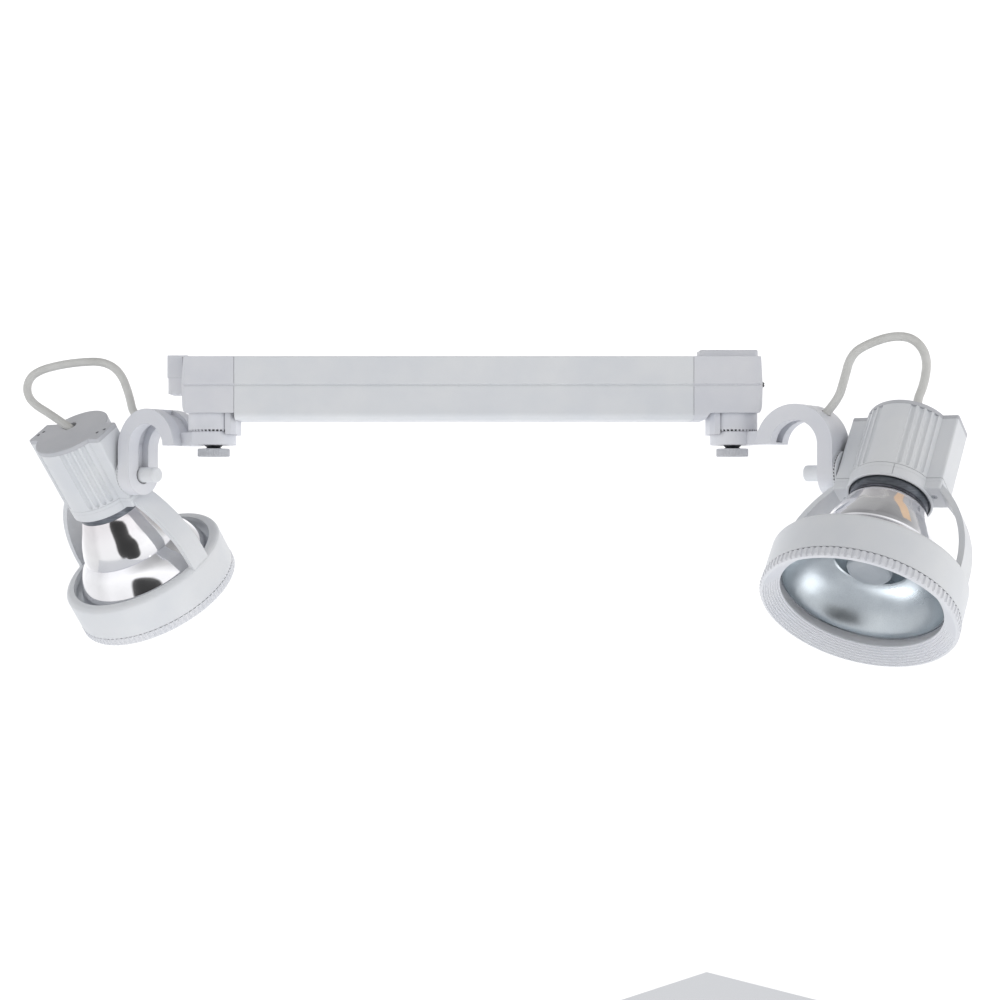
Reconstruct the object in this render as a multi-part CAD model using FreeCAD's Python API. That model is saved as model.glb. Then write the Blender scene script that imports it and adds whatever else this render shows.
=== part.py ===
import FreeCAD, Part
import os, math

# Twin-head track lighting fixture, millimetres, +Z up.
# Origin: centre of the gear box's top seating plane, midway between the two swivel axes.
# +X runs along the gear box. The left lamp half is the right half turned 180 degrees about Z.
os.makedirs("parts", exist_ok=True)
V = FreeCAD.Vector

# ---------------------------------------------------------------- driving dimensions
BOX_W, BOX_H = 43.0, 45.3          # gear box section, across and high
EXT_X0, EXT_X1 = -169.6, 157.3     # ends of the extruded middle
CAP_L, CAP_R = 207.4, 206.8        # outer ends of the two end caps
WALL = 1.8
CAP_FLOOR = -40.2                  # underside of the end caps round the swivel boss
GROOVE_Z = -20.5                   # line groove along both long sides
PIV = 187.8                        # swivel axes at x = +-PIV
FOOT = -62.7                       # underside of the arm foot
FOOT_T = 9.5                       # arm foot thickness
SWIVEL_R, SWIVEL_L = 34.5, 34.2    # swivel angles at rest, from straight outward
TILT_R, TILT_L = 37.1, 35.8        # lamp tilt from straight down at rest
ARM_L = 124.2                      # swivel axis to lamp axis
AXIS_Z = -20.95                    # tilt axis above the foot's underside
ARC_S, ARC_Z, R_OUT, R_IN = 54.5, -1.4, 29.0, 17.8   # hooked arm: arc centre and radii
ARM_W = 15.0                       # half width of the arm's band
GAP = 0.1                          # running gap between flat faces that slide
FIT = 0.08                         # radial running clearance of studs
H_R, H_P, H_Q = 29.3, 38.0, 11.2   # lamp housing: barrel radius, wing half length and half thickness
H_TOP, H_CAP, H_SKIRT, H_END = -40.6, -37.2, 13.4, 16.3   # stations along the lamp axis
HUB_END, BARREL_END = 21.9, 23.4     # lower faces of the hub's wings and barrel
RING_R, RING_A0, RING_A1 = 65.0, 81.2, 108.5
STRAP_C, STRAP_R, STRAP_T, STRAP_Q = (-22.9, 79.5), 87.0, 4.0, 9.0
FRONT_A0, FRONT_A1, FRONT_R = 109.0, 115.9, 65.3
RIB_ANGLES, RIB_R = (23.5, 34.5, 45.5, 56.5), 1.95
TEETH = 96
LAMP_R = 55.5                      # 111 mm reflector lamp
CABLE_R = 3.1

# ---------------------------------------------------------------- helpers
def box(x0, x1, y0, y1, z0, z1):
    return Part.makeBox(x1 - x0, y1 - y0, z1 - z0, V(x0, y0, z0))

def cyl(r, z0, z1, x=0.0, y=0.0):
    return Part.makeCylinder(r, z1 - z0, V(x, y, z0))

def cylx(r, x0, x1, y=0.0, z=0.0):
    return Part.makeCylinder(r, x1 - x0, V(x0, y, z), V(1, 0, 0))

def tube(ro, ri, z0, z1):
    return cyl(ro, z0, z1).cut(cyl(ri, z0 - 1, z1 + 1))

def prism(pts, vec):
    return Part.Face(Part.makePolygon(pts + [pts[0]])).extrude(vec)

def prism_yz(pts, x0, x1):
    return prism([V(x0, y, z) for y, z in pts], V(x1 - x0, 0, 0))

def prism_xz(pts, y0, y1):
    return prism([V(x, y0, z) for x, z in pts], V(0, y1 - y0, 0))

def revolve(pts, axis=V(0, 0, 1)):
    """Ring from (radius, station) points about Z."""
    return prism_rev([V(r, 0, z) for r, z in pts], axis)

def prism_rev(pts, axis):
    return Part.Face(Part.makePolygon(pts + [pts[0]])).revolve(V(0, 0, 0), axis, 360)

def smooth_ring(runs):
    """Ring about Z from runs of (radius, station) points: two points make a straight run, more make one smooth curve."""
    edges = []
    for run in runs:
        pts = [V(r, 0, z) for r, z in run]
        if len(pts) == 2:
            edges.append(Part.LineSegment(pts[0], pts[1]).toShape())
        else:
            c = Part.BSplineCurve()
            c.interpolate(pts)
            edges.append(c.toShape())
    return Part.Face(Part.Wire(edges)).revolve(V(0, 0, 0), V(0, 0, 1), 360)

def fuse(shapes):
    s = shapes[0].fuse(shapes[1:]) if len(shapes) > 1 else shapes[0]
    return s.removeSplitter()

def fillet_where(shape, r, test):
    edges = [e for e in shape.Edges if test(e)]
    return shape.makeFillet(r, edges) if edges else shape

def chamfer_where(shape, r, test):
    edges = [e for e in shape.Edges if test(e)]
    return shape.makeChamfer(r, edges) if edges else shape

def straight(e, axis):
    if not isinstance(e.Curve, Part.Line):
        return False
    d = e.Curve.Direction
    return abs(abs(getattr(d, axis)) - 1) < 1e-6

NODES = {}

def node(name, shape, place=None):
    s = shape.copy()
    if place is not None:
        s.Placement = place.multiply(s.Placement)
    NODES[name] = s

def frame_of(cx, cy, cz, origin):
    m = FreeCAD.Matrix(cx.x, cy.x, cz.x, origin.x, cx.y, cy.y, cz.y, origin.y, cx.z, cy.z, cz.z, origin.z, 0, 0, 0, 1)
    return FreeCAD.Placement(m)

# ---------------------------------------------------------------- gear box
def box_profile(w, z_top, z_low, r_low, x0, x1):
    s = box(x0, x1, -w, w, z_low, z_top)
    return fillet_where(s, r_low, lambda e: straight(e, "x") and e.CenterOfMass.z < z_low + 0.1)

def side_grooves(x0, x1):
    w = BOX_W / 2
    g = [(w + 0.5, GROOVE_Z + 1.7), (w - 0.9, GROOVE_Z), (w + 0.5, GROOVE_Z - 1.7)]
    a = prism_yz(g, x0, x1)
    b = prism_yz([(-y, z) for y, z in g], x0, x1)
    return a.fuse(b)

outer = box_profile(BOX_W / 2, 0.0, -BOX_H, 5.0, EXT_X0, EXT_X1)
outer = fillet_where(outer, 0.8, lambda e: straight(e, "x") and e.CenterOfMass.z > -0.1)
inner = box_profile(BOX_W / 2 - WALL, -WALL, -BOX_H + WALL, 3.6, EXT_X0 - 1, EXT_X1 + 1)
extrusion = outer.cut(inner).cut(side_grooves(EXT_X0 - 1, EXT_X1 + 1))
# two inner rails that carry the gear tray
for sy in (-1, 1):
    y0, y1 = sorted((sy * (BOX_W / 2 - WALL - 2.4), sy * (BOX_W / 2 - WALL + 0.5)))
    rail = box(EXT_X0, EXT_X1, y0, y1, -39.2, -38.0)
    extrusion = extrusion.fuse(rail)
node("box_extrusion", extrusion.removeSplitter())

def end_cap(end, joint):
    """Cap drawn on the +X side: joint plane at x = joint, outer end at x = end."""
    body = box_profile(BOX_W / 2, 0.0, -BOX_H, 5.0, joint, end + 2)
    plan = box(joint - 1, end + 1.0, -BOX_W / 2 - 1, BOX_W / 2 + 1, -60, 5)
    outline = [(joint - 1, 5), (end - 2.6, 5), (end - 1.3, -1.2), (end, GROOVE_Z), (end - 0.5, -35.0),
               (end - 1.3, -38.6), (end - 2.6, CAP_FLOOR - 0.02), (169.5, CAP_FLOOR - 0.02)]
    if joint < 165.5:
        outline += [(165.6, -BOX_H - 0.05), (165.6, -60), (joint - 1, -60)]
    else:
        outline[-1] = (joint - 1, CAP_FLOOR - 0.02)
    slab = prism_xz(outline, -40, 40)
    slab = fillet_where(slab, 3.5, lambda e: abs(e.CenterOfMass.y) < 1e-6 and False)
    body = body.common(slab).removeSplitter()
    # rounded upright corners at the outer end
    rounded = box(joint - 1, end + 0.5, -BOX_W / 2, BOX_W / 2, -60, 6)
    rounded = fillet_where(rounded, 4.0, lambda e: straight(e, "z") and e.CenterOfMass.x > end)
    body = body.common(rounded).removeSplitter()
    body = body.cut(side_grooves(joint - 1, end + 2))
    # fine shadow line round the joint with the extrusion
    line = box(joint - 1, joint + 0.35, -BOX_W / 2 - 1, BOX_W / 2 + 1, -BOX_H - 1, 1).cut(
        box(joint - 2, joint + 1, -BOX_W / 2 + 0.4, BOX_W / 2 - 0.4, (-BOX_H if joint < 165.5 else CAP_FLOOR) + 0.4, -0.4))
    body = body.cut(line)
    # groove line carried round the outer end
    body = body.cut(prism_xz([(end + 0.6, GROOVE_Z + 1.0), (end - 0.5, GROOVE_Z), (end + 0.6, GROOVE_Z - 1.0)], -30, 30))
    hollow = box(joint - 1, end - 3.4, -BOX_W / 2 + 2.2, BOX_W / 2 - 2.2, CAP_FLOOR + 2.3, -2.2)
    body = body.cut(hollow)
    # hole for the boss spigot
    body = body.cut(cyl(12.05, -60, CAP_FLOOR + 4, PIV))
    return body

cap_r = end_cap(CAP_R, EXT_X1)
cap_l = end_cap(CAP_L, -EXT_X0)
turn = FreeCAD.Placement(V(0, 0, 0), FreeCAD.Rotation(V(0, 0, 1), 180))
# right cap: hole for the end button and slots for the adapter pad screws
cap_r = cap_r.cut(cylx(1.65, CAP_R - 8, CAP_R + 4, 0, -19.0))
node("end_cap_right", cap_r.removeSplitter())
# left cap: slot for the latch tongue
cap_l = cap_l.cut(box(CAP_L - 8, CAP_L + 4, -4.3, 4.3, -21.4, -8.6))
node("end_cap_left", cap_l.removeSplitter(), turn)

# end button: black dome screw
bx = CAP_R - 0.1
btn = prism_rev([V(0, 0, 0), V(2.6, 0, 0), V(2.6, 0, 1.6), V(2.3, 0, 2.9), V(1.6, 0, 3.9), V(0.7, 0, 4.5), V(0, 0, 4.6)], V(0, 0, 1))
btn = btn.fuse(cyl(1.6, -9, 0.05)).cut(box(-0.45, 0.45, -3, 3, 3.7, 6)).removeSplitter()
btn.Placement = FreeCAD.Placement(V(bx + 0.1, 0, -19.0), FreeCAD.Rotation(V(0, 1, 0), 90))
node("end_button", btn)

# track adapter pad with three contact blades
pad = box(163.0, 205.0, -11.0, 11.0, 0.0, 5.5)
pad = fillet_where(pad, 3.0, lambda e: straight(e, "z"))
pad = fillet_where(pad, 1.0, lambda e: e.CenterOfMass.z > 5.4)
slots = [box(170.0, 198.0, y - 0.95, y + 0.95, 2.6, 7.0) for y in (-5.5, 0.0, 5.5)]
for s in slots:
    pad = pad.cut(s)
node("track_adapter", pad.removeSplitter())
node("contact_blades", Part.makeCompound([box(171.0, 197.0, y - 0.5, y + 0.5, 2.6, 5.2) for y in (-5.5, 0.0, 5.5)]))

# latch block at the left end: slides up into the track (drawn at +X, then turned)
latch = box(208.1, 218.6, -12.0, 12.0, -26.2, 0.3)
latch = fillet_where(latch, 2.0, lambda e: straight(e, "z") and e.CenterOfMass.x > 218)
upper = box(208.1, 219.3, -12.4, 12.4, -14.8, 1.3)
upper = fillet_where(upper, 2.2, lambda e: straight(e, "z") and e.CenterOfMass.x > 219)
lip = box(204.5, 209.0, -12.4, 12.4, 0.1, 1.3)
tongue = box(203.0, 208.6, -4.1, 4.1, -21.0, -12.0)
head = box(201.4, 203.3, -7.0, 7.0, -22.0, -11.0)
node("latch_slide", fuse([latch, upper, lip, tongue, head]), turn)

# electrical gear inside the extrusion
node("gear_tray", box(-160.0, 150.0, -18.6, 18.6, -37.9, -36.7).cut(box(-14, -2, -8, 8, -40, -30)))
def ballast(x0, x1):
    b = box(x0, x1, -15.5, 15.5, -36.6, -8.0)
    return fillet_where(b, 1.5, lambda e: straight(e, "z"))
node("ballast_left", ballast(-152.0, -22.0))
node("ballast_right", ballast(-8.0, 112.0))
tb = box(118.0, 146.0, -11.0, 11.0, -36.6, -20.0)
for i in range(4):
    tb = tb.cut(cyl(1.8, -27.0, -15.0, 122.0 + i * 6.6, 5.0)).cut(cyl(1.8, -27.0, -15.0, 122.0 + i * 6.6, -5.0))
node("terminal_block", tb)

# ---------------------------------------------------------------- swivel boss (drawn on the +X side)
def boss():
    b = cyl(18.0, FOOT + FOOT_T + GAP, CAP_FLOOR - 0.05, PIV)
    b = b.fuse(cyl(12.0, CAP_FLOOR - 0.1, -31.0, PIV))
    x0, x1 = 169.8, 177.0
    plan = [V(x0 + 3.3, -16, 0), V(x1, -16, 0), V(x1, 16, 0), V(x0 + 3.3, 16, 0), V(x0, 12.7, 0), V(x0, -12.7, 0)]
    blk = prism([V(p.x, p.y, -55.3) for p in plan], V(0, 0, 55.3 + CAP_FLOOR - 0.05))
    # the lip below the foot's top face stands clear of the foot disc
    blk = blk.cut(cyl(16.8, -60, FOOT + FOOT_T + GAP, PIV))
    b = b.fuse(blk).removeSplitter()
    b = b.cut(cyl(4.08, -70, -20, PIV))
    # radial ratchet notches round the lower face
    z = FOOT + FOOT_T + GAP
    notches = []
    for i in range(40):
        a = i * 9.0
        n = box(11.0, 19.0, -0.85, 0.85, z - 1, z + 1.15)
        n.Placement = FreeCAD.Placement(V(PIV, 0, 0), FreeCAD.Rotation(V(0, 0, 1), a))
        if abs(((a + 180) % 360) - 180) < 128:
            notches.append(n)
    return b.cut(Part.makeCompound(notches)).removeSplitter()

bs = boss()
node("swivel_boss_right", bs)
node("swivel_boss_left", bs, turn)
nut = prism([V(PIV + 15.2 * math.cos(math.radians(60 * i)), 15.2 * math.sin(math.radians(60 * i)), -37.8) for i in range(6)], V(0, 0, 4.5)).cut(cyl(12.05, -40, -30, PIV))
nut2 = nut.copy()
nut2.Placement = turn.multiply(nut2.Placement)
node("boss_nuts", Part.makeCompound([nut, nut2]))

# ---------------------------------------------------------------- arm (local: X outward along the arm, Z up, origin on the swivel axis at the foot's underside)
def arm_casting(route_start, route_next):
    foot = cyl(16.25, 0, FOOT_T)
    strap = box(0, 30.5, -6.5, 6.5, 0, FOOT_T)
    ring_o = Part.makeCylinder(R_OUT, 2 * ARM_W, V(ARC_S, -ARM_W, ARC_Z), V(0, 1, 0))
    upper_half = box(-60, 160, -40, 40, 0.0, 60)
    arch = ring_o.common(upper_half)
    leg = box(ARC_S, ARC_S + R_OUT, -ARM_W, ARM_W, AXIS_Z, ARC_Z + 2)
    leg_end = cylx(ARM_W, ARC_S, ARC_S + R_OUT, 0, AXIS_Z)
    outer_s = arch.fuse([leg, leg_end]).removeSplitter()
    ri = Part.makeCylinder(R_IN, 2 * ARM_W + 4, V(ARC_S, -ARM_W - 2, ARC_Z), V(0, 1, 0))
    under = box(ARC_S - R_IN - 40, ARC_S + R_IN, -ARM_W - 2, ARM_W + 2, -60, ARC_Z)
    left_cut = box(-60, ARC_S, -40, 40, -60, 0.0)
    s = outer_s.cut(ri).cut(box(ARC_S - R_IN, ARC_S + R_IN, -ARM_W - 2, ARM_W + 2, -60, ARC_Z)).cut(left_cut)
    s = s.fuse([foot, strap]).removeSplitter()
    # channel in the inner surface, 10 wide and 6 deep, down to the tilt knob
    gi = Part.makeCylinder(R_IN + 6.0, 10.0, V(ARC_S, -5, ARC_Z), V(0, 1, 0)).common(box(-60, 160, -5, 5, 1.2, 60))
    gl = box(ARC_S, ARC_S + R_IN + 6.0, -5, 5, AXIS_Z, ARC_Z + 4)
    ge = cylx(5.0, ARC_S, ARC_S + R_IN + 6.0, 0, AXIS_Z).fuse(cylx(6.7, ARC_S + R_IN - 1, ARC_S + R_IN + 1.6, 0, AXIS_Z))
    s = s.cut(gi).cut(gl).cut(ge)
    # shallow channel in the outer surface on the swivel side
    go = Part.makeCylinder(R_OUT + 4, 12.0, V(ARC_S, -6, ARC_Z), V(0, 1, 0)).cut(Part.makeCylinder(R_OUT - 3.2, 14.0, V(ARC_S, -7, ARC_Z), V(0, 1, 0)))
    go = go.common(box(0, ARC_S - 6, -6, 6, FOOT_T, 60))
    s = s.cut(go)
    # swivel bore for the bush and the tilt bore
    s = s.cut(cyl(6.0, -1, FOOT_T + 1))
    s = s.cut(cylx(3.0 + FIT, 60, 100, 0, AXIS_Z))
    # slanted hole for the lamp cable in the outer shoulder
    d = route_next - route_start
    d.normalize()
    s = s.cut(Part.makeCylinder(CABLE_R + 0.45, 24, route_start - d * 0.05, d))
    s = s.removeSplitter()
    return s

def ratchet_disc(x0, x1, r, notch_face, n=40):
    d = cylx(r, x0, x1, 0, AXIS_Z).cut(cylx(3.0 + FIT, x0 - 1, x1 + 1, 0, AXIS_Z))
    cuts = []
    for i in range(n):
        k = box(notch_face - 0.7, notch_face + 0.9, -0.6, 0.6, r * 0.6, r + 2)
        k.Placement = FreeCAD.Placement(V(0, 0, AXIS_Z), FreeCAD.Rotation(V(1, 0, 0), i * 360.0 / n))
        cuts.append(k)
    return d.cut(Part.makeCompound(cuts))

def arm_parts(tag, place, route):
    inv = place.inverse()
    a0, a1 = inv.multVec(route[0]), inv.multVec(route[1])
    node("arm_" + tag, arm_casting(a0, a1), place)
    bush = tube(6.0, 4.0 + FIT, 0.0, FOOT_T)
    node("swivel_bush_" + tag, bush, place)
    leg = ARC_S + R_OUT
    node("tilt_ratchet_" + tag, ratchet_disc(leg, leg + 1.35, 15.0, leg + 1.35), place)

    # swivel thumb screw with stud and cone washer
    knob = cyl(11.5, -8.4, -2.6)
    knob = chamfer_where(knob, 0.5, lambda e: isinstance(e.Curve, Part.Circle))
    grooves = []
    for i in range(60):
        t = math.radians(i * 6.0)
        grooves.append(cyl(0.42, -9, -2, 11.65 * math.cos(t), 11.65 * math.sin(t)))
    knob = knob.cut(Part.makeCompound(grooves))
    stud = cyl(4.0, -3.5, 27.0)
    stud = chamfer_where(stud, 0.8, lambda e: isinstance(e.Curve, Part.Circle) and e.CenterOfMass.z > 26)
    slotk = box(-6.5, 6.5, -0.8, 0.8, -9, -7.2)
    node("swivel_screw_" + tag, fuse([knob, stud]).cut(slotk), place)
    washer = revolve([(4.0, -GAP), (6.3, -GAP), (6.3, -0.7), (4.9, -1.5), (5.9, -2.55), (4.0, -2.55)])
    node("lock_washer_" + tag, washer, place)

    # tilt knob: plain round grip with a rounded end, and its stud
    x1 = ARC_S + R_IN + 1.6 - GAP
    grip = prism_rev([V(0, 0, 0), V(5.7, 0, 0), V(5.7, 0, -15.0), V(5.45, 0, -16.0), V(4.8, 0, -16.6), V(4.2, 0, -16.8), V(0, 0, -16.9)], V(0, 0, 1))
    grip.Placement = FreeCAD.Placement(V(x1, 0, AXIS_Z), FreeCAD.Rotation(V(0, 1, 0), 90))
    st = cylx(3.0, x1 - 8, ARM_L - H_P + 5.0, 0, AXIS_Z)
    node("tilt_knob_" + tag, fuse([grip, st]), place)

# ---------------------------------------------------------------- lamp head (local: X along the tilt axis, Z out of the lamp, origin on the tilt axis)
def outline_prism(r, p, q, a0, a1, corner):
    w = box(-p, p, -q, q, a0, a1)
    w = fillet_where(w, corner, lambda e: straight(e, "z"))
    return fuse([cyl(r, a0, a1), w])

def head_parts(tag, place, route):
    inv = place.inverse()
    end, prev = inv.multVec(route[-1]), inv.multVec(route[-2])
    d = end - prev
    d.normalize()
    passage = Part.makeCylinder(CABLE_R + 0.5, 24, end - d * 20, d)
    cable_hole = cyl(5.0, H_TOP - 2, H_CAP + 12, end.x + 1.0, end.y + 0.5)

    # ribbed upper housing
    s = outline_prism(H_R, H_P, H_Q, H_CAP, H_SKIRT, 1.6)
    cuts = []
    for sp in (-1, 1):
        for sq in (-1, 1):
            for angle in RIB_ANGLES:
                p, q = (H_R + 0.45) * math.sin(math.radians(angle)), (H_R + 0.45) * math.cos(math.radians(angle))
                g = cyl(RIB_R, H_CAP - 1, H_SKIRT - 2.6, sp * p, sq * q)
                g = g.fuse(Part.makeSphere(RIB_R, V(sp * p, sq * q, H_SKIRT - 2.6)))
                cuts.append(g)
    s = s.cut(Part.makeCompound(cuts))
    s = s.cut(cyl(25.0, H_CAP - 1, H_SKIRT + 1))
    for sp in (-1, 1):
        x0, x1 = sorted((sp * 22.0, sp * 34.8))
        s = s.cut(box(x0, x1, -8.2, 8.2, H_CAP - 1, -18.0) if sp < 0 else box(x0, x1, -8.2, 8.2, H_CAP - 1, H_SKIRT + 1))
    s = s.cut(cylx(3.0 + FIT, -H_P - 1, -H_P + 8, 0, 0))
    node("housing_" + tag, s.removeSplitter(), place)

    # plain skirt under the ribs, with its parting line
    k = outline_prism(H_R, H_P, H_Q, H_SKIRT + 0.05, H_END, 1.6)
    k = chamfer_where(k, 0.35, lambda e: abs(e.BoundBox.ZMin - (H_SKIRT + 0.05)) < 1e-6 and abs(e.BoundBox.ZMax - (H_SKIRT + 0.05)) < 1e-6)
    k = k.cut(cyl(27.6, H_SKIRT - 1, H_END + 1))
    seam = box(-0.2, 0.2, H_R - 0.35, H_R + 1, H_SKIRT, BARREL_END + 1)
    seam.Placement = FreeCAD.Placement(V(0, 0, 0), FreeCAD.Rotation(V(0, 0, 1), -20.3))
    k = k.cut(seam)
    node("housing_skirt_" + tag, k.removeSplitter(), place)

    # flat top cap with its fixing dots and the cable hole
    c = outline_prism(H_R, H_P, H_Q, H_TOP, H_CAP - 0.05, 1.6)
    c = chamfer_where(c, 0.5, lambda e: e.BoundBox.ZMax < H_TOP + 1e-6)
    dots = [(-34.4, 1.6), (-30.2, -2.4), (33.9, -3.4), (31.9, 0.9)]
    for p, q in dots:
        c = c.cut(cyl(1.35, H_TOP - 1, H_TOP + 1.8, p, q))
    c = c.cut(cable_hole).cut(passage)
    node("top_cap_" + tag, c.removeSplitter(), place)
    scr = []
    for p, q in dots:
        b = cyl(1.3, H_TOP + 0.5, H_TOP + 1.8, p, q).cut(box(p - 1.4, p + 1.4, q - 0.25, q + 0.25, H_TOP + 0.4, H_TOP + 1.0))
        scr.append(b)
    node("cap_screws_" + tag, Part.makeCompound(scr), place)

    # strain relief inside, under the top cap, round the cable's end
    sr = cyl(8.0, H_CAP + 0.05, H_CAP + 7.0, end.x + 1.0, end.y + 0.5)
    sr = sr.cut(passage).cut(cyl(3.2, H_CAP - 1, H_CAP + 8, end.x + 1.0, end.y + 0.5))
    node("cable_clamp_" + tag, sr, place)

    # tilt disc on the arm side wing
    td = cylx(15.0, -H_P - 1.25, -H_P - 0.02).cut(cylx(3.0 + FIT, -H_P - 4, -H_P + 1))
    td = chamfer_where(td, 0.3, lambda e: isinstance(e.Curve, Part.Circle) and e.Curve.Radius > 14)
    node("tilt_disc_" + tag, td, place)

    # yoke ring: hub plate, two bowed straps and the lamp ring, one casting
    wings = fillet_where(box(-H_P, H_P, -H_Q, H_Q, H_END + 0.05, HUB_END), 1.6, lambda e: straight(e, "z"))
    wings = chamfer_where(wings, 0.6, lambda e: e.BoundBox.ZMin > HUB_END - 1e-6)
    barrel = cyl(H_R, H_END + 0.05, BARREL_END)
    barrel = chamfer_where(barrel, 0.7, lambda e: e.BoundBox.ZMin > BARREL_END - 1e-6)
    hub = wings.fuse(barrel).cut(cyl(27.6, H_END - 1, BARREL_END + 1)).cut(seam)
    ring = revolve([(57.6, RING_A0), (61.4, RING_A0), (62.6, RING_A0 + 0.35), (63.9, RING_A0 + 1.2), (64.8, RING_A0 + 2.5), (RING_R, RING_A0 + 4.0),
                    (RING_R, RING_A1), (61.5, RING_A1), (61.5, RING_A0 + 4.4), (57.6, RING_A0 + 4.4)])
    parts = [hub, ring]
    for sp in (-1, 1):
        cx, ca = STRAP_C
        big = Part.makeCylinder(STRAP_R, 2 * STRAP_Q, V(sp * cx, -STRAP_Q, ca), V(0, 1, 0))
        small = Part.makeCylinder(STRAP_R - STRAP_T, 2 * STRAP_Q + 2, V(sp * cx, -STRAP_Q - 1, ca), V(0, 1, 0))
        x0, x1 = sorted((sp * 20.0, sp * 80.0))
        band = big.cut(small).common(box(x0, x1, -20, 20, H_END + 0.6, RING_A0 + 3.4))
        parts.append(band)
    y = fuse(parts)
    y = y.cut(cyl(27.6, H_END - 1, BARREL_END + 1))
    sc = [(31.2, 1.0), (-31.2, -1.0)]
    for p, q in sc:
        y = y.cut(cyl(2.1, HUB_END - 1.6, HUB_END + 12, p, q).common(box(-40, 40, -20, 20, HUB_END - 1.6, HUB_END + 0.1)))
    node("yoke_ring_" + tag, y.removeSplitter(), place)
    hs = []
    for p, q in sc:
        b = cyl(2.0, HUB_END - 1.6, HUB_END - 0.1, p, q)
        b = b.cut(box(p - 1.3, p + 1.3, q - 0.3, q + 0.3, HUB_END - 0.7, HUB_END + 1)).cut(box(p - 0.3, p + 0.3, q - 1.3, q + 1.3, HUB_END - 0.7, HUB_END + 1))
        hs.append(b)
    node("hub_screws_" + tag, Part.makeCompound(hs), place)

    # dark collar lining the opening, and the ceramic lamp holder
    node("collar_" + tag, revolve([(27.5, H_SKIRT + 0.05), (27.5, 22.2), (26.5, 22.7), (26.2, 28.9), (25.2, 28.9), (25.2, H_SKIRT + 1.4), (21.0, H_SKIRT + 1.4), (21.0, H_SKIRT + 0.05)]), place)
    lh = cyl(20.0, -16.0, 7.95)
    for x in (-5.0, 5.0):
        lh = lh.cut(cyl(2.2, 0.0, 9.0, x, 0))
    lh = lh.cut(cyl(3.0, -17, -8.0, 12.0, 0)).cut(cyl(3.0, -17, -8.0, -12.0, 0))
    node("lamp_holder_" + tag, lh, place)

    # reflector lamp: base with two pins, bright shell, satin bowl, shield cap and burner
    base = cyl(18.0, 8.2, 19.0)
    base = fuse([base, cyl(1.9, 1.0, 8.3, -5.0, 0), cyl(1.9, 1.0, 8.3, 5.0, 0)])
    node("lamp_base_" + tag, base, place)
    shell = smooth_ring([[(18.1, 15.5), (22.6, 16.5)], [(22.6, 16.5), (24.1, 21.0), (24.9, 28.5)],
                         [(24.9, 28.5), (26.9, 32.0), (29.7, 38.0), (32.8, 44.0), (35.6, 50.0), (37.8, 56.0), (39.1, 61.0), (39.3, 63.2)],
                         [(39.3, 63.2), (38.9, 64.2)],
                         [(38.9, 64.2), (40.6, 66.0), (43.8, 69.4), (47.0, 74.0), (50.2, 80.0), (53.0, 86.6), (54.9, 94.2)],
                         [(54.9, 94.2), (LAMP_R, 95.5)], [(LAMP_R, 95.5), (LAMP_R, 99.6)], [(LAMP_R, 99.6), (LAMP_R - 1.1, 99.6)],
                         [(LAMP_R - 1.1, 99.6), (LAMP_R - 1.1, 95.9)],
                         [(LAMP_R - 1.1, 95.9), (51.9, 87.0), (49.1, 80.6), (45.9, 74.6), (42.7, 70.0), (39.5, 66.8), (37.8, 64.2)],
                         [(37.8, 64.2), (38.0, 61.4), (36.7, 56.4), (34.5, 50.4), (31.7, 44.5), (28.6, 38.5), (25.8, 32.5), (23.8, 28.8)],
                         [(23.8, 28.8), (23.0, 21.4), (21.8, 17.6)], [(21.8, 17.6), (18.1, 16.7)], [(18.1, 16.7), (18.1, 15.5)]])
    node("reflector_shell_" + tag, shell, place)
    bowl = smooth_ring([[(25.4, 62.8), (25.4, 75.3)], [(25.4, 75.3), (30.7, 76.2), (36.4, 78.4), (42.6, 82.4), (47.9, 87.4), (51.6, 92.4), (53.8, 97.4)],
                        [(53.8, 97.4), (54.2, 99.4)], [(54.2, 99.4), (53.2, 99.4)],
                        [(53.2, 99.4), (52.8, 97.6), (50.5, 93.0), (46.9, 88.3), (41.8, 83.6), (35.8, 79.7), (30.4, 77.5), (25.6, 76.5)],
                        [(25.6, 76.5), (24.6, 75.6)], [(24.6, 75.6), (24.6, 64.0)], [(24.6, 64.0), (3.0, 64.0)], [(3.0, 64.0), (3.0, 62.8)], [(3.0, 62.8), (25.4, 62.8)]])
    node("reflector_bowl_" + tag, bowl, place)
    capf = revolve([(0, 84.6), (8.0, 84.5), (12.5, 84.0), (14.2, 83.3), (15.0, 81.8), (15.0, 70.0), (14.2, 70.0), (14.2, 81.4), (12.0, 83.0), (0, 83.4)])
    legs = [box(x0, x0 + 1.2, -1.5, 1.5, 64.0, 72.0) for x0 in (-14.9, 13.7)]
    node("shield_cap_" + tag, fuse([capf] + legs), place)
    burner = fuse([cyl(2.8, 20.0, 66.0), cyl(6.5, 66.0, 68.0), Part.makeSphere(5.0, V(0, 0, 73.0)), cyl(3.0, 67.0, 79.0)])
    node("burner_" + tag, fuse([burner, cyl(9.0, 19.05, 22.0)]), place)

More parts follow.
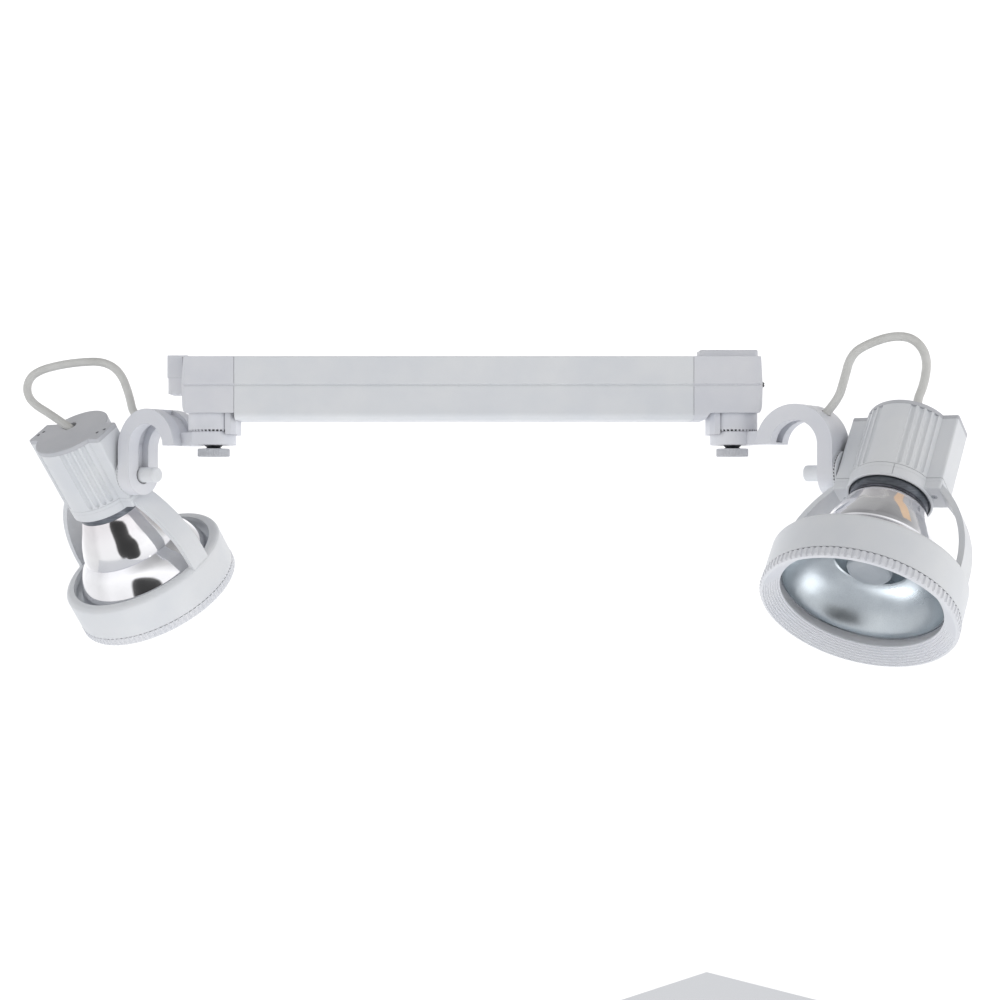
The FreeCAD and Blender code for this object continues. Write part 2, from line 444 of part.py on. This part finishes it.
    # front ring: knurled rim, bayonet sleeve and stepped baffle
    pts = [(61.1, 103.6), (61.1, FRONT_A0 - 0.02), (FRONT_R, FRONT_A0), (FRONT_R, FRONT_A1 - 1.8), (FRONT_R - 0.9, FRONT_A1 - 0.5), (FRONT_R - 2.2, FRONT_A1), (62.6, FRONT_A1)]
    r, a = 62.6, FRONT_A1
    steps = 7
    for i in range(steps):
        a -= 1.3
        pts.append((r, a))
        r -= 1.28
        pts.append((r, a))
    pts += [(r, a - 1.2), (59.4, a - 1.2), (59.4, 103.6)]
    fr = revolve(pts)
    teeth = []
    for i in range(TEETH):
        t_ = 2 * math.pi * i / TEETH
        teeth.append(cyl(1.15, FRONT_A0 - 0.5, FRONT_A1 + 1, (FRONT_R + 0.15) * math.cos(t_), (FRONT_R + 0.15) * math.sin(t_)))
    fr = fr.cut(Part.makeCompound(teeth))
    node("front_ring_" + tag, fr, place)

# ---------------------------------------------------------------- lamp cables
# Routes in the row frame, from inside the arm's shoulder to inside the lamp's top cap.
ROUTE_R = [V(*p) for p in [(245.2, -40.2, -44.5), (255.4, -43.1, -33.1), (259.2, -44.7, -19.8), (264.0, -45.6, -0.8),
                           (276.7, -47.6, 6.8), (292.7, -51.0, 11.7), (306.7, -53.1, 9.5), (315.2, -54.5, -3.2),
                           (313.2, -54.3, -21.7), (305.8, -56.3, -37.4), (308.7, -62.0, -51.0)]]
ROUTE_L = [V(*p) for p in [(-245.4, 39.9, -44.5), (-255.4, 43.3, -39.6), (-259.0, 45.1, -23.5), (-266.0, 46.8, -6.0),
                           (-279.5, 50.4, 2.3), (-298.8, 53.8, 1.9), (-315.0, 57.0, -0.1), (-329.7, 59.6, -3.6),
                           (-338.3, 60.3, -9.3), (-341.0, 60.5, -19.2), (-336.4, 61.0, -28.8), (-321.3, 60.0, -37.8),
                           (-305.7, 61.0, -49.0)]]

def cord(route, r, name):
    edges, radii = [], []
    at = route[0]
    n = len(route)
    for i in range(1, n - 1):
        a, b = route[i] - route[i - 1], route[i + 1] - route[i]
        la, lb = a.Length, b.Length
        a.normalize(); b.normalize()
        turn_a = a.getAngle(b)
        cut = 0.45 * min(la, lb)
        rad = cut / math.tan(turn_a / 2)
        radii.append(rad)
        p0, p1 = route[i] - a * cut, route[i] + b * cut
        mid_dir = (b - a)
        mid_dir.normalize()
        centre = p0 + (route[i] + mid_dir * (rad / math.cos(turn_a / 2)) - p0)
        mid = centre - mid_dir * rad
        if (p0 - at).Length > 1e-6:
            edges.append(Part.LineSegment(at, p0).toShape())
        edges.append(Part.Arc(p0, mid, p1).toShape())
        at = p1
    edges.append(Part.LineSegment(at, route[-1]).toShape())
    path = Part.Wire(edges)
    d = route[1] - route[0]
    prof = Part.Wire([Part.Circle(route[0], d, r).toShape()])
    solid = path.makePipeShell([prof], True, False)
    length = path.Length
    print("%s: length %.1f, volume ratio %.4f, radii %s, smallest %.1f = %.1f diameters" % (
        name, length, solid.Volume / (math.pi * r * r * length), [round(x, 1) for x in radii], min(radii), min(radii) / (2 * r)))
    return solid

# ---------------------------------------------------------------- place both halves
def arm_place(side):
    s = 1 if side == "right" else -1
    ph = math.radians(SWIVEL_R if side == "right" else SWIVEL_L)
    u = V(math.cos(ph) * s, -math.sin(ph) * s, 0)
    z = V(0, 0, 1)
    y = z.cross(u)
    return frame_of(u, y, z, V(PIV * s, 0, FOOT)), u

for side, tilt, route in (("right", TILT_R, ROUTE_R), ("left", TILT_L, ROUTE_L)):
    place, u = arm_place(side)
    arm_parts(side, place, route)
    t = math.radians(tilt)
    z = V(0, 0, 1)
    nrm = z.cross(u) * -1
    d = nrm * math.sin(t) - z * math.cos(t)
    e = nrm * math.cos(t) + z * math.sin(t)
    s = 1 if side == "right" else -1
    hp = frame_of(u, e, d, V(PIV * s, 0, FOOT + AXIS_Z) + u * ARM_L)
    head_parts(side, hp, route)
    node("cable_" + side, cord(route, CABLE_R, "cable_" + side))
    print(side, "tilt axis point", hp.Base, "u", u, "d", d)

bad = 0
for name, shape in NODES.items():
    ok = shape.isValid() and all(s.isClosed() for s in shape.Shells) and shape.Volume > 0
    if not ok:
        bad += 1
        print("CHECK", name, shape.isValid(), shape.Volume)
    shape.exportStep("parts/" + name + ".step")
print(len(NODES), "nodes,", bad, "to check")
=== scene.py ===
import bpy, math
from mathutils import Vector, Matrix

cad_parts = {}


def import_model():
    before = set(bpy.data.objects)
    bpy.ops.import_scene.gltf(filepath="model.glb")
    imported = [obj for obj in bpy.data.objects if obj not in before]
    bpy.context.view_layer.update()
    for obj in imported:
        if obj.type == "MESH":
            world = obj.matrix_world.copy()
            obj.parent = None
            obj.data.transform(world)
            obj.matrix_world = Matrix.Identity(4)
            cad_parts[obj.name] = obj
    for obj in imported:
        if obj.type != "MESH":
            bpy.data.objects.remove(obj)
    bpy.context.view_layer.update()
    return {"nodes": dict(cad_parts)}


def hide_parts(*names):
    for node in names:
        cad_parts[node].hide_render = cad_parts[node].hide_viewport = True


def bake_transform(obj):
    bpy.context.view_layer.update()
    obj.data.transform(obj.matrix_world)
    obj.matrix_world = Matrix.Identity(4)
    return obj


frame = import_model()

nodes = frame["nodes"]
scene = bpy.context.scene

# ------------------------------------------------------------------ camera
cam_data = bpy.data.cameras.new("camera")
cam_data.lens, cam_data.sensor_width, cam_data.sensor_height = 59.47, 36.0, 36.0
cam_data.clip_start, cam_data.clip_end = 0.05, 60.0
camera = bpy.data.objects.new("camera", cam_data)
camera.location = (0.01955, -1.1965, -0.1024)
camera.rotation_euler = (math.pi / 2, 0.0, 0.0)
scene.collection.objects.link(camera)
scene.camera = camera
scene.view_settings.view_transform = "Standard"


# ------------------------------------------------------------------ node helpers
class Graph:
    """Small helper that builds a node tree by name."""

    def __init__(self, tree):
        self.t = tree

    def add(self, kind, values=None, **attrs):
        n = self.t.nodes.new(kind)
        for k, v in attrs.items():
            setattr(n, k, v)
        for k, v in (values or {}).items():
            s = n.inputs[k]
            if isinstance(v, bpy.types.NodeSocket):
                self.t.links.new(v, s)
            else:
                s.default_value = v
        return n

    def link(self, a, b):
        self.t.links.new(a, b)

    def coords(self):
        return self.add("ShaderNodeTexCoord").outputs["Object"]

    def noise(self, scale, detail=2.0, rough=0.5, vec=None, dist=0.0):
        n = self.add("ShaderNodeTexNoise", {"Scale": scale, "Detail": detail, "Roughness": rough, "Distortion": dist})
        self.link(vec if vec is not None else self.coords(), n.inputs["Vector"])
        return n.outputs["Fac"]

    def ramp(self, fac, stops, mode="LINEAR"):
        n = self.add("ShaderNodeValToRGB")
        n.color_ramp.interpolation = mode
        e = n.color_ramp.elements
        while len(e) < len(stops):
            e.new(0.5)
        for el, (p, c) in zip(e, stops):
            el.position = p
            el.color = (c[0], c[1], c[2], 1.0) if isinstance(c, (tuple, list)) else (c, c, c, 1.0)
        self.link(fac, n.inputs["Fac"])
        return n.outputs["Color"]

    def remap(self, fac, a, b, lo=0.0, hi=1.0):
        n = self.add("ShaderNodeMapRange", {"From Min": lo, "From Max": hi, "To Min": a, "To Max": b})
        self.link(fac, n.inputs["Value"])
        return n.outputs["Result"]

    def mix(self, fac, a, b, blend="MIX"):
        n = self.add("ShaderNodeMix", data_type="RGBA", blend_type=blend)
        for i, v in ((0, fac), (6, a), (7, b)):
            if isinstance(v, bpy.types.NodeSocket):
                self.link(v, n.inputs[i])
            else:
                n.inputs[i].default_value = v if i == 0 else ((*v, 1.0) if len(v) == 3 else v)
        return n.outputs[2]

    def math(self, op, a, b=0.0):
        n = self.add("ShaderNodeMath", operation=op)
        for i, v in enumerate((a, b)):
            if isinstance(v, bpy.types.NodeSocket):
                self.link(v, n.inputs[i])
            else:
                n.inputs[i].default_value = v
        return n.outputs[0]

    def bump(self, height, strength, distance, normal=None):
        n = self.add("ShaderNodeBump", {"Strength": strength, "Distance": distance})
        self.link(height, n.inputs["Height"])
        if normal is not None:
            self.link(normal, n.inputs["Normal"])
        return n.outputs["Normal"]

    def edge(self, radius):
        return self.add("ShaderNodeBevel", {"Radius": radius}, samples=4).outputs["Normal"]


def new_material(name):
    m = bpy.data.materials.new(name)
    m.use_nodes = True
    t = m.node_tree
    t.nodes.clear()
    g = Graph(t)
    out = g.add("ShaderNodeOutputMaterial")
    b = g.add("ShaderNodeBsdfPrincipled")
    g.link(b.outputs["BSDF"], out.inputs["Surface"])
    return m, g, b


def rgb(r, g, b):
    """sRGB 0-255 to linear."""
    f = lambda c: c / 12.92 if c <= 0.04045 else ((c + 0.055) / 1.055) ** 2.4
    return tuple(f(x / 255.0) for x in (r, g, b))


# ------------------------------------------------------------------ coated and moulded surfaces
def coated(name, light, dark, rough, peel, peel_scale, edge=0.00035, specular=0.5, coat=0.0, crevice_shade=0.55, reach=0.0035):
    """Powder coat or moulded plastic: slow tone drift, fine peel, painted shade darkening the crevices."""
    m, g, b = new_material(name)
    drift = g.noise(22.0, 3.0, 0.55)
    fine = g.noise(peel_scale, 2.0, 0.6)
    tone = g.mix(g.remap(drift, 0.0, 1.0, 0.35, 0.65), dark, light)
    speck = g.ramp(g.noise(1900.0, 1.0, 0.5), [(0.0, 0.93), (0.30, 0.985), (0.42, 1.0), (1.0, 1.0)])
    tone = g.mix(1.0, tone, speck, "MULTIPLY")
    # painted shade: an ambient occlusion mask darkens the colour in crevices and recesses, where shade falls
    if reach:
        ao = g.add("ShaderNodeAmbientOcclusion", {"Distance": reach}, samples=6).outputs["AO"]
        painted_crevice_shade = g.ramp(ao, [(0.0, crevice_shade), (0.55, 0.93), (0.9, 1.0)])
        tone = g.mix(1.0, tone, painted_crevice_shade, "MULTIPLY")
    g.link(tone, b.inputs["Base Color"])
    r = g.remap(g.noise(70.0, 4.0, 0.6), rough - 0.06, rough + 0.07, 0.3, 0.7)
    g.link(r, b.inputs["Roughness"])
    b.inputs["Specular IOR Level"].default_value = specular
    if coat:
        b.inputs["Coat Weight"].default_value = coat
        b.inputs["Coat Roughness"].default_value = 0.12
    normal = g.edge(edge) if edge else None
    g.link(g.bump(fine, peel, 0.00012, normal), b.inputs["Normal"])
    return m


def metal(name, light, dark, rough, spread, scratch=0.25, scale=(900.0, 900.0, 60.0), edge=0.0002):
    """Bare or plated metal: grain along one way, smudges in the roughness."""
    m, g, b = new_material(name)
    b.inputs["Metallic"].default_value = 1.0
    stretch = g.add("ShaderNodeMapping", {"Scale": scale})
    g.link(g.coords(), stretch.inputs["Vector"])
    grain = g.noise(1.0, 3.0, 0.65, stretch.outputs["Vector"])
    smudge = g.noise(55.0, 4.0, 0.6)
    g.link(g.mix(g.remap(grain, 0.0, 1.0, 0.3, 0.7), dark, light), b.inputs["Base Color"])
    g.link(g.remap(smudge, rough - spread, rough + spread, 0.3, 0.7), b.inputs["Roughness"])
    g.link(g.bump(grain, scratch, 0.00004, g.edge(edge) if edge else None), b.inputs["Normal"])
    return m


def mirror(name, centre, axis):
    """Bright interference coating on the bell: its faint mauve tint is the coating's own, while the darker smoky neck
    and the darker band just short of the rim are painted reflection; clearer towards the rim.
    """
    m, g, b = new_material(name)
    b.inputs["Metallic"].default_value = 1.0
    radius, along = lamp_coords(g, centre, axis)
    # painted reflection: darker tone at the neck and a darker band near the rim, laid into the base colour along the
    # lamp axis
    coating_tint_and_reflection = g.ramp(g.remap(along, 0.0, 1.0, 0.028, 0.070), [(0.0, (0.84, 0.81, 0.83)), (0.25, (0.90, 0.88, 0.90)), (0.60, (0.97, 0.97, 0.98)), (0.88, (0.88, 0.88, 0.91)), (1.0, (0.96, 0.96, 0.98))])
    cloud = g.ramp(g.noise(34.0, 4.0, 0.6), [(0.25, 0.90), (0.55, 1.0), (1.0, 1.0)])
    g.link(g.mix(1.0, coating_tint_and_reflection, cloud, "MULTIPLY"), b.inputs["Base Color"])
    g.link(g.remap(g.noise(48.0, 5.0, 0.62), 0.035, 0.13, 0.3, 0.72), b.inputs["Roughness"])
    waves = g.noise(38.0, 1.0, 0.4)
    pits = g.ramp(g.noise(900.0, 1.0, 0.5), [(0.0, 0.0), (0.26, 0.9), (0.34, 1.0), (1.0, 1.0)])
    n1 = g.bump(waves, 0.20, 0.0008)
    g.link(g.bump(pits, 0.12, 0.00006, n1), b.inputs["Normal"])
    return m


def satin_bowl(name, centre, axis):
    """Vacuum-coated bowl: fine grain and faint rings about the lamp axis."""
    m, g, b = new_material(name)
    b.inputs["Metallic"].default_value = 1.0
    radius, along = lamp_coords(g, centre, axis)
    grain = g.noise(1500.0, 2.0, 0.7)
    cloud = g.noise(34.0, 3.0, 0.55)
    tone = g.mix(g.remap(cloud, 0.0, 1.0, 0.3, 0.7), (0.52, 0.57, 0.61), (0.68, 0.73, 0.76))
    tone = g.mix(1.0, tone, g.ramp(grain, [(0.0, 0.80), (0.42, 0.94), (0.6, 1.0), (1.0, 1.0)]), "MULTIPLY")
    g.link(tone, b.inputs["Base Color"])
    g.link(g.remap(cloud, 0.27, 0.38, 0.3, 0.7), b.inputs["Roughness"])
    ring = g.math("SINE", g.math("MULTIPLY", radius, 2 * math.pi / 0.0019))
    n1 = g.bump(grain, 0.30, 0.00012)
    g.link(g.bump(ring, 0.05, 0.00003, n1), b.inputs["Normal"])
    return m


def lamp_coords(g, centre, axis):
    """Radius and station about a lamp's own axis, from object coordinates."""
    z = Vector(axis).normalized()
    x = z.orthogonal().normalized()
    y = z.cross(x)
    rel = g.add("ShaderNodeVectorMath", operation="SUBTRACT")
    g.link(g.coords(), rel.inputs[0])
    rel.inputs[1].default_value = centre
    parts = []
    for v in (x, y, z):
        d = g.add("ShaderNodeVectorMath", operation="DOT_PRODUCT")
        g.link(rel.outputs[0], d.inputs[0])
        d.inputs[1].default_value = v
        parts.append(d.outputs["Value"])
    radius = g.math("SQRT", g.math("ADD", g.math("MULTIPLY", parts[0], parts[0]), g.math("MULTIPLY", parts[1], parts[1])))
    return radius, parts[2]


def silicone(name):
    """Milky silicone jacket: slow tone drift, a film of dust and handling marks."""
    m, g, b = new_material(name)
    base = g.mix(g.remap(g.noise(40.0, 3.0, 0.6), 0.0, 1.0, 0.3, 0.7), rgb(214, 214, 210), rgb(228, 228, 225))
    dust = g.ramp(g.noise(160.0, 3.0, 0.55), [(0.0, 0.93), (0.33, 0.97), (0.5, 1.0), (1.0, 1.0)])
    g.link(g.mix(1.0, base, dust, "MULTIPLY"), b.inputs["Base Color"])
    g.link(g.remap(g.noise(120.0, 3.0, 0.6), 0.36, 0.52, 0.3, 0.7), b.inputs["Roughness"])
    b.inputs["Specular IOR Level"].default_value = 0.45
    g.link(g.bump(g.noise(220.0, 2.0, 0.5), 0.04, 0.00005), b.inputs["Normal"])
    return m


def quartz(name):
    m, g, b = new_material(name)
    g.link(g.mix(g.noise(90.0, 3.0, 0.5), (0.90, 0.92, 0.93), (1.0, 1.0, 1.0)), b.inputs["Base Color"])
    b.inputs["Transmission Weight"].default_value = 0.9
    b.inputs["IOR"].default_value = 1.46
    g.link(g.remap(g.noise(200.0, 2.0, 0.5), 0.02, 0.09, 0.3, 0.7), b.inputs["Roughness"])
    return m


PAINT_ARM = coated("white_powder_coat_casting", rgb(238, 239, 243), rgb(231, 233, 239), 0.42, 0.18, 1150.0, crevice_shade=0.42, reach=0.008)
PAINT_RING = coated("white_powder_coat_ring", rgb(240, 241, 244), rgb(234, 236, 241), 0.38, 0.10, 1150.0, edge=0.0, reach=0.0)
PAINT = coated("white_powder_coat", rgb(240, 242, 244), rgb(233, 236, 240), 0.40, 0.16, 1150.0, crevice_shade=0.42, reach=0.005)
MOULDED = coated("white_moulding", rgb(236, 237, 241), rgb(227, 229, 235), 0.50, 0.20, 1700.0, specular=0.42)
# painted shade: a darker copy of the white moulding, standing in for the shade on the top caps and swivel screws
MOULDING_PAINTED_SHADE = coated("white_moulding_painted_shade", rgb(214, 215, 219), rgb(204, 206, 211), 0.56, 0.28, 2100.0, specular=0.38)
BLACK = coated("black_moulding", rgb(22, 22, 24), rgb(14, 14, 16), 0.22, 0.12, 1300.0, specular=0.6, coat=0.3, crevice_shade=0.8)
GREY_PL = coated("grey_moulding", rgb(176, 178, 182), rgb(160, 162, 168), 0.46, 0.2, 1500.0)
ENAMEL = coated("grey_enamel", rgb(176, 182, 188), rgb(160, 168, 175), 0.34, 0.10, 900.0, specular=0.55)
CERAMIC = coated("unglazed_ceramic", rgb(231, 225, 213), rgb(216, 208, 194), 0.72, 0.45, 1500.0, specular=0.3)
STEEL = metal("zinc_steel", (0.62, 0.64, 0.67), (0.48, 0.50, 0.53), 0.34, 0.08)
DARK_STEEL = metal("dark_oxide_steel", (0.20, 0.205, 0.22), (0.10, 0.105, 0.115), 0.30, 0.09, 0.3, (700.0, 700.0, 700.0))
BRASS = metal("turned_brass", (0.78, 0.60, 0.30), (0.62, 0.45, 0.20), 0.28, 0.07)
# partly the collar's own dark metal, partly painted shade: darkened to stand in for the shade in the recess between
# skirt and lamp neck
COLLAR_AND_SHADE = metal("slate_collar_painted_shade", (0.24, 0.26, 0.29), (0.14, 0.15, 0.17), 0.42, 0.08, 0.2, (120.0, 120.0, 900.0))
JACKET = silicone("milky_silicone")
QUARTZ = quartz("clear_quartz")

HEADS = {
    "right": dict(base=(0.290156, -0.070348, -0.08365), u=(0.824126, -0.566406, 0.0), e=(-0.451756, -0.657309, 0.603208), d=(-0.341661, -0.497119, -0.797584)),
    "left": dict(base=(-0.290523, 0.069811, -0.08365), u=(-0.827081, 0.562083, 0.0), e=(0.455885, 0.670816, 0.584958), d=(0.328795, 0.483807, -0.811064)),
}


def give(node, material):
    o = nodes[node]
    o.data.materials.clear()
    o.data.materials.append(material)


for n, m in (("box_extrusion", PAINT), ("end_cap_left", MOULDED), ("end_cap_right", MOULDED), ("end_button", BLACK),
             ("track_adapter", MOULDED), ("contact_blades", BRASS), ("latch_slide", MOULDED), ("gear_tray", STEEL),
             ("ballast_left", GREY_PL), ("ballast_right", GREY_PL), ("terminal_block", MOULDED),
             ("swivel_boss_left", MOULDED), ("swivel_boss_right", MOULDED), ("boss_nuts", STEEL)):
    give(n, m)
for side, h in HEADS.items():
    bowl = satin_bowl("satin_bowl_" + side, h["base"], h["d"])
    bell = mirror("interference_mirror_" + side, h["base"], h["d"])
    for n, m in (("arm", PAINT_ARM), ("swivel_bush", BRASS), ("tilt_ratchet", PAINT), ("swivel_screw", MOULDING_PAINTED_SHADE), ("lock_washer", DARK_STEEL),
                 ("tilt_knob", PAINT), ("housing", PAINT), ("housing_skirt", PAINT), ("top_cap", MOULDING_PAINTED_SHADE), ("cap_screws", DARK_STEEL),
                 ("cable_clamp", BLACK), ("tilt_disc", PAINT), ("yoke_ring", PAINT), ("hub_screws", STEEL), ("collar", COLLAR_AND_SHADE),
                 ("lamp_holder", CERAMIC), ("lamp_base", CERAMIC), ("reflector_shell", bell), ("reflector_bowl", bowl),
                 ("shield_cap", ENAMEL), ("burner", QUARTZ), ("front_ring", PAINT_RING)):
        give(n + "_" + side, m)

# ------------------------------------------------------------------ lamp cables
# Route points in metres, from inside the arm's shoulder to inside the lamp's top cap.
MM = 0.001
ROUTES = {
    "right": [(245.2, -40.2, -44.5), (255.4, -43.1, -33.1), (259.2, -44.7, -19.8), (264.0, -45.6, -0.8), (276.7, -47.6, 6.8),
              (292.7, -51.0, 11.7), (306.7, -53.1, 9.5), (315.2, -54.5, -3.2), (313.2, -54.3, -21.7), (305.8, -56.3, -37.4),
              (308.7, -62.0, -51.0)],
    "left": [(-245.4, 39.9, -44.5), (-255.4, 43.3, -39.6), (-259.0, 45.1, -23.5), (-266.0, 46.8, -6.0), (-279.5, 50.4, 2.3),
             (-298.8, 53.8, 1.9), (-315.0, 57.0, -0.1), (-329.7, 59.6, -3.6), (-338.3, 60.3, -9.3), (-341.0, 60.5, -19.2),
             (-336.4, 61.0, -28.8), (-321.3, 60.0, -37.8), (-305.7, 61.0, -49.0)],
}
CABLE_D = 0.0062


def spline_points(name, route):
    """Points along one NURBS spline whose control points are the route."""
    c = bpy.data.curves.new(name + "_line", "CURVE")
    c.dimensions = "3D"
    c.resolution_u = 16
    s = c.splines.new("NURBS")
    s.points.add(len(route) - 1)
    for p, q in zip(s.points, route):
        p.co = (q[0] * MM, q[1] * MM, q[2] * MM, 1.0)
    s.order_u = 3
    s.use_endpoint_u = True
    o = bpy.data.objects.new(name + "_line", c)
    scene.collection.objects.link(o)
    bpy.context.view_layer.update()
    mesh = bpy.data.meshes.new_from_object(o.evaluated_get(bpy.context.evaluated_depsgraph_get()))
    pts = [v.co.copy() for v in mesh.vertices]
    bpy.data.meshes.remove(mesh)
    bpy.data.objects.remove(o)
    bpy.data.curves.remove(c)
    return pts


def tube_mesh(name, pts, radius, sides=28):
    """Round tube along pts with closed ends, frames carried without twist."""
    verts, faces = [], []
    n = len(pts)
    tangents = [((pts[min(i + 1, n - 1)] - pts[max(i - 1, 0)]).normalized()) for i in range(n)]
    x = tangents[0].orthogonal().normalized()
    for i, p in enumerate(pts):
        if i:
            x = tangents[i - 1].rotation_difference(tangents[i]) @ x
            x = (x - tangents[i] * x.dot(tangents[i])).normalized()
        y = tangents[i].cross(x)
        for k in range(sides):
            a = 2 * math.pi * k / sides
            verts.append(p + (x * math.cos(a) + y * math.sin(a)) * radius)
    for i in range(n - 1):
        for k in range(sides):
            a, b = i * sides + k, i * sides + (k + 1) % sides
            faces.append((a, b, b + sides, a + sides))
    faces.append(tuple(range(sides - 1, -1, -1)))
    faces.append(tuple(range((n - 1) * sides, n * sides)))
    me = bpy.data.meshes.new(name)
    me.from_pydata([tuple(v) for v in verts], [], faces)
    me.update()
    for poly in me.polygons:
        poly.use_smooth = len(poly.vertices) == 4
    o = bpy.data.objects.new(name, me)
    scene.collection.objects.link(o)
    return o


for side, route in ROUTES.items():
    line = spline_points("lead_" + side, route)
    lead = tube_mesh("lead_" + side, line, CABLE_D / 2)
    lead.data.materials.append(JACKET)
    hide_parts("cable_" + side)
    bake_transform(lead)


# ------------------------------------------------------------------ studio
def world():
    w = bpy.data.worlds.new("studio")
    scene.world = w
    w.use_nodes = True
    t = w.node_tree
    t.nodes.clear()
    g = Graph(t)
    out = g.add("ShaderNodeOutputWorld")
    bg = g.add("ShaderNodeBackground")
    tc = g.add("ShaderNodeTexCoord").outputs["Generated"]
    sep = g.add("ShaderNodeSeparateXYZ")
    g.link(tc, sep.inputs[0])
    x, y, z = sep.outputs
    # round the horizon: a dim gap towards the front, a broad soft light to each side of it, white behind
    azimuth = g.math("ABSOLUTE", g.math("ARCTAN2", x, g.math("MULTIPLY", y, -1.0)))
    around = g.ramp(g.remap(azimuth, 0.0, 1.0, 0.0, math.pi), [(0.0, 1.0), (0.36, 1.0), (0.46, 0.85), (0.70, 0.95), (0.85, 1.15), (1.0, 1.15)])
    # a darker rounded window straight in front, from well below the horizon to a little above it
    wx = g.math("DIVIDE", g.math("ARCTAN2", g.math("ADD", x, -0.03), g.math("MULTIPLY", y, -1.0)), 0.44)
    wz = g.math("DIVIDE", g.math("ADD", z, 0.15), 0.31)
    inside = g.math("ADD", g.math("POWER", g.math("ABSOLUTE", wx), 4.0), g.math("POWER", g.math("ABSOLUTE", wz), 4.0))
    window = g.ramp(inside, [(0.0, 0.05), (0.55, 0.10), (1.0, 1.0)])
    around = g.mix(1.0, around, window, "MULTIPLY")
    # bright below, dim overhead
    height = g.ramp(g.remap(z, 0.0, 1.0, -1.0, 1.0), [(0.0, 0.70), (0.34, 0.85), (0.65, 1.0), (0.74, 0.62), (0.88, 0.36), (1.0, 0.28)])
    light = g.mix(1.0, around, height, "MULTIPLY")
    col = g.mix(1.0, light, (1.09, 1.09, 1.10), "MULTIPLY")
    g.link(col, bg.inputs["Color"])
    bg.inputs["Strength"].default_value = 1.0
    g.link(bg.outputs[0], out.inputs["Surface"])


world()


def plate(name, centre, sx, sy, normal, material):
    z = Vector(normal).normalized()
    x = z.orthogonal().normalized() if abs(z.z) > 0.99 else Vector((0, 0, 1)).cross(z).normalized()
    y = z.cross(x)
    c = Vector(centre)
    me = bpy.data.meshes.new(name)
    me.from_pydata([tuple(c + x * sx * i + y * sy * j) for i, j in ((-0.5, -0.5), (0.5, -0.5), (0.5, 0.5), (-0.5, 0.5))], [], [(0, 1, 2, 3)])
    me.materials.append(material)
    o = bpy.data.objects.new(name, me)
    scene.collection.objects.link(o)
    return o


def stage_material(name, colour, glow):
    m, g, b = new_material(name)
    g.link(g.mix(g.noise(3.0, 2.0, 0.5), colour, tuple(min(1.0, c * 1.02) for c in colour)), b.inputs["Base Color"])
    b.inputs["Roughness"].default_value = 0.85
    b.inputs["Specular IOR Level"].default_value = 0.1
    b.inputs["Emission Color"].default_value = (*colour, 1.0)
    b.inputs["Emission Strength"].default_value = glow
    return m


plate("floor", (0.0, 0.2, -1.35), 5.0, 3.4, (0, 0, 1), stage_material("pale_floor", (0.58, 0.59, 0.61), 0.55))
plate("warm_strip", (0.974, 0.314, 0.773), 0.75, 0.26, (-0.578, -0.362, -0.731), stage_material("warm_card", (0.46, 0.34, 0.24), 0.70))


def area(name, loc, target, size, power, colour=(1, 1, 1), size_y=None):
    d = bpy.data.lights.new(name, "AREA")
    d.shape = "RECTANGLE"
    d.size, d.size_y = size, size_y or size
    d.energy, d.color = power, colour
    o = bpy.data.objects.new(name, d)
    o.location = loc
    o.rotation_euler = (Vector(target) - Vector(loc)).to_track_quat("-Z", "Y").to_euler()
    scene.collection.objects.link(o)
    return o


area("fill_left", (-1.5, -1.0, -0.7), (0.0, 0.0, -0.1), 1.0, 0.5).visible_glossy = False
area("fill_right", (1.6, -1.0, 0.1), (0.25, 0.0, -0.1), 0.8, 2.6).visible_glossy = False
for name, place, aim, power in (("spot_right", (0.715, -0.349, -0.868), (0.23, -0.08, -0.16), 0.9),
                                ("spot_left", (-0.20, 0.024, -0.91), (0.288, -0.098, -0.164), 1.2)):
    area(name, place, aim, 0.42, power).visible_camera = False
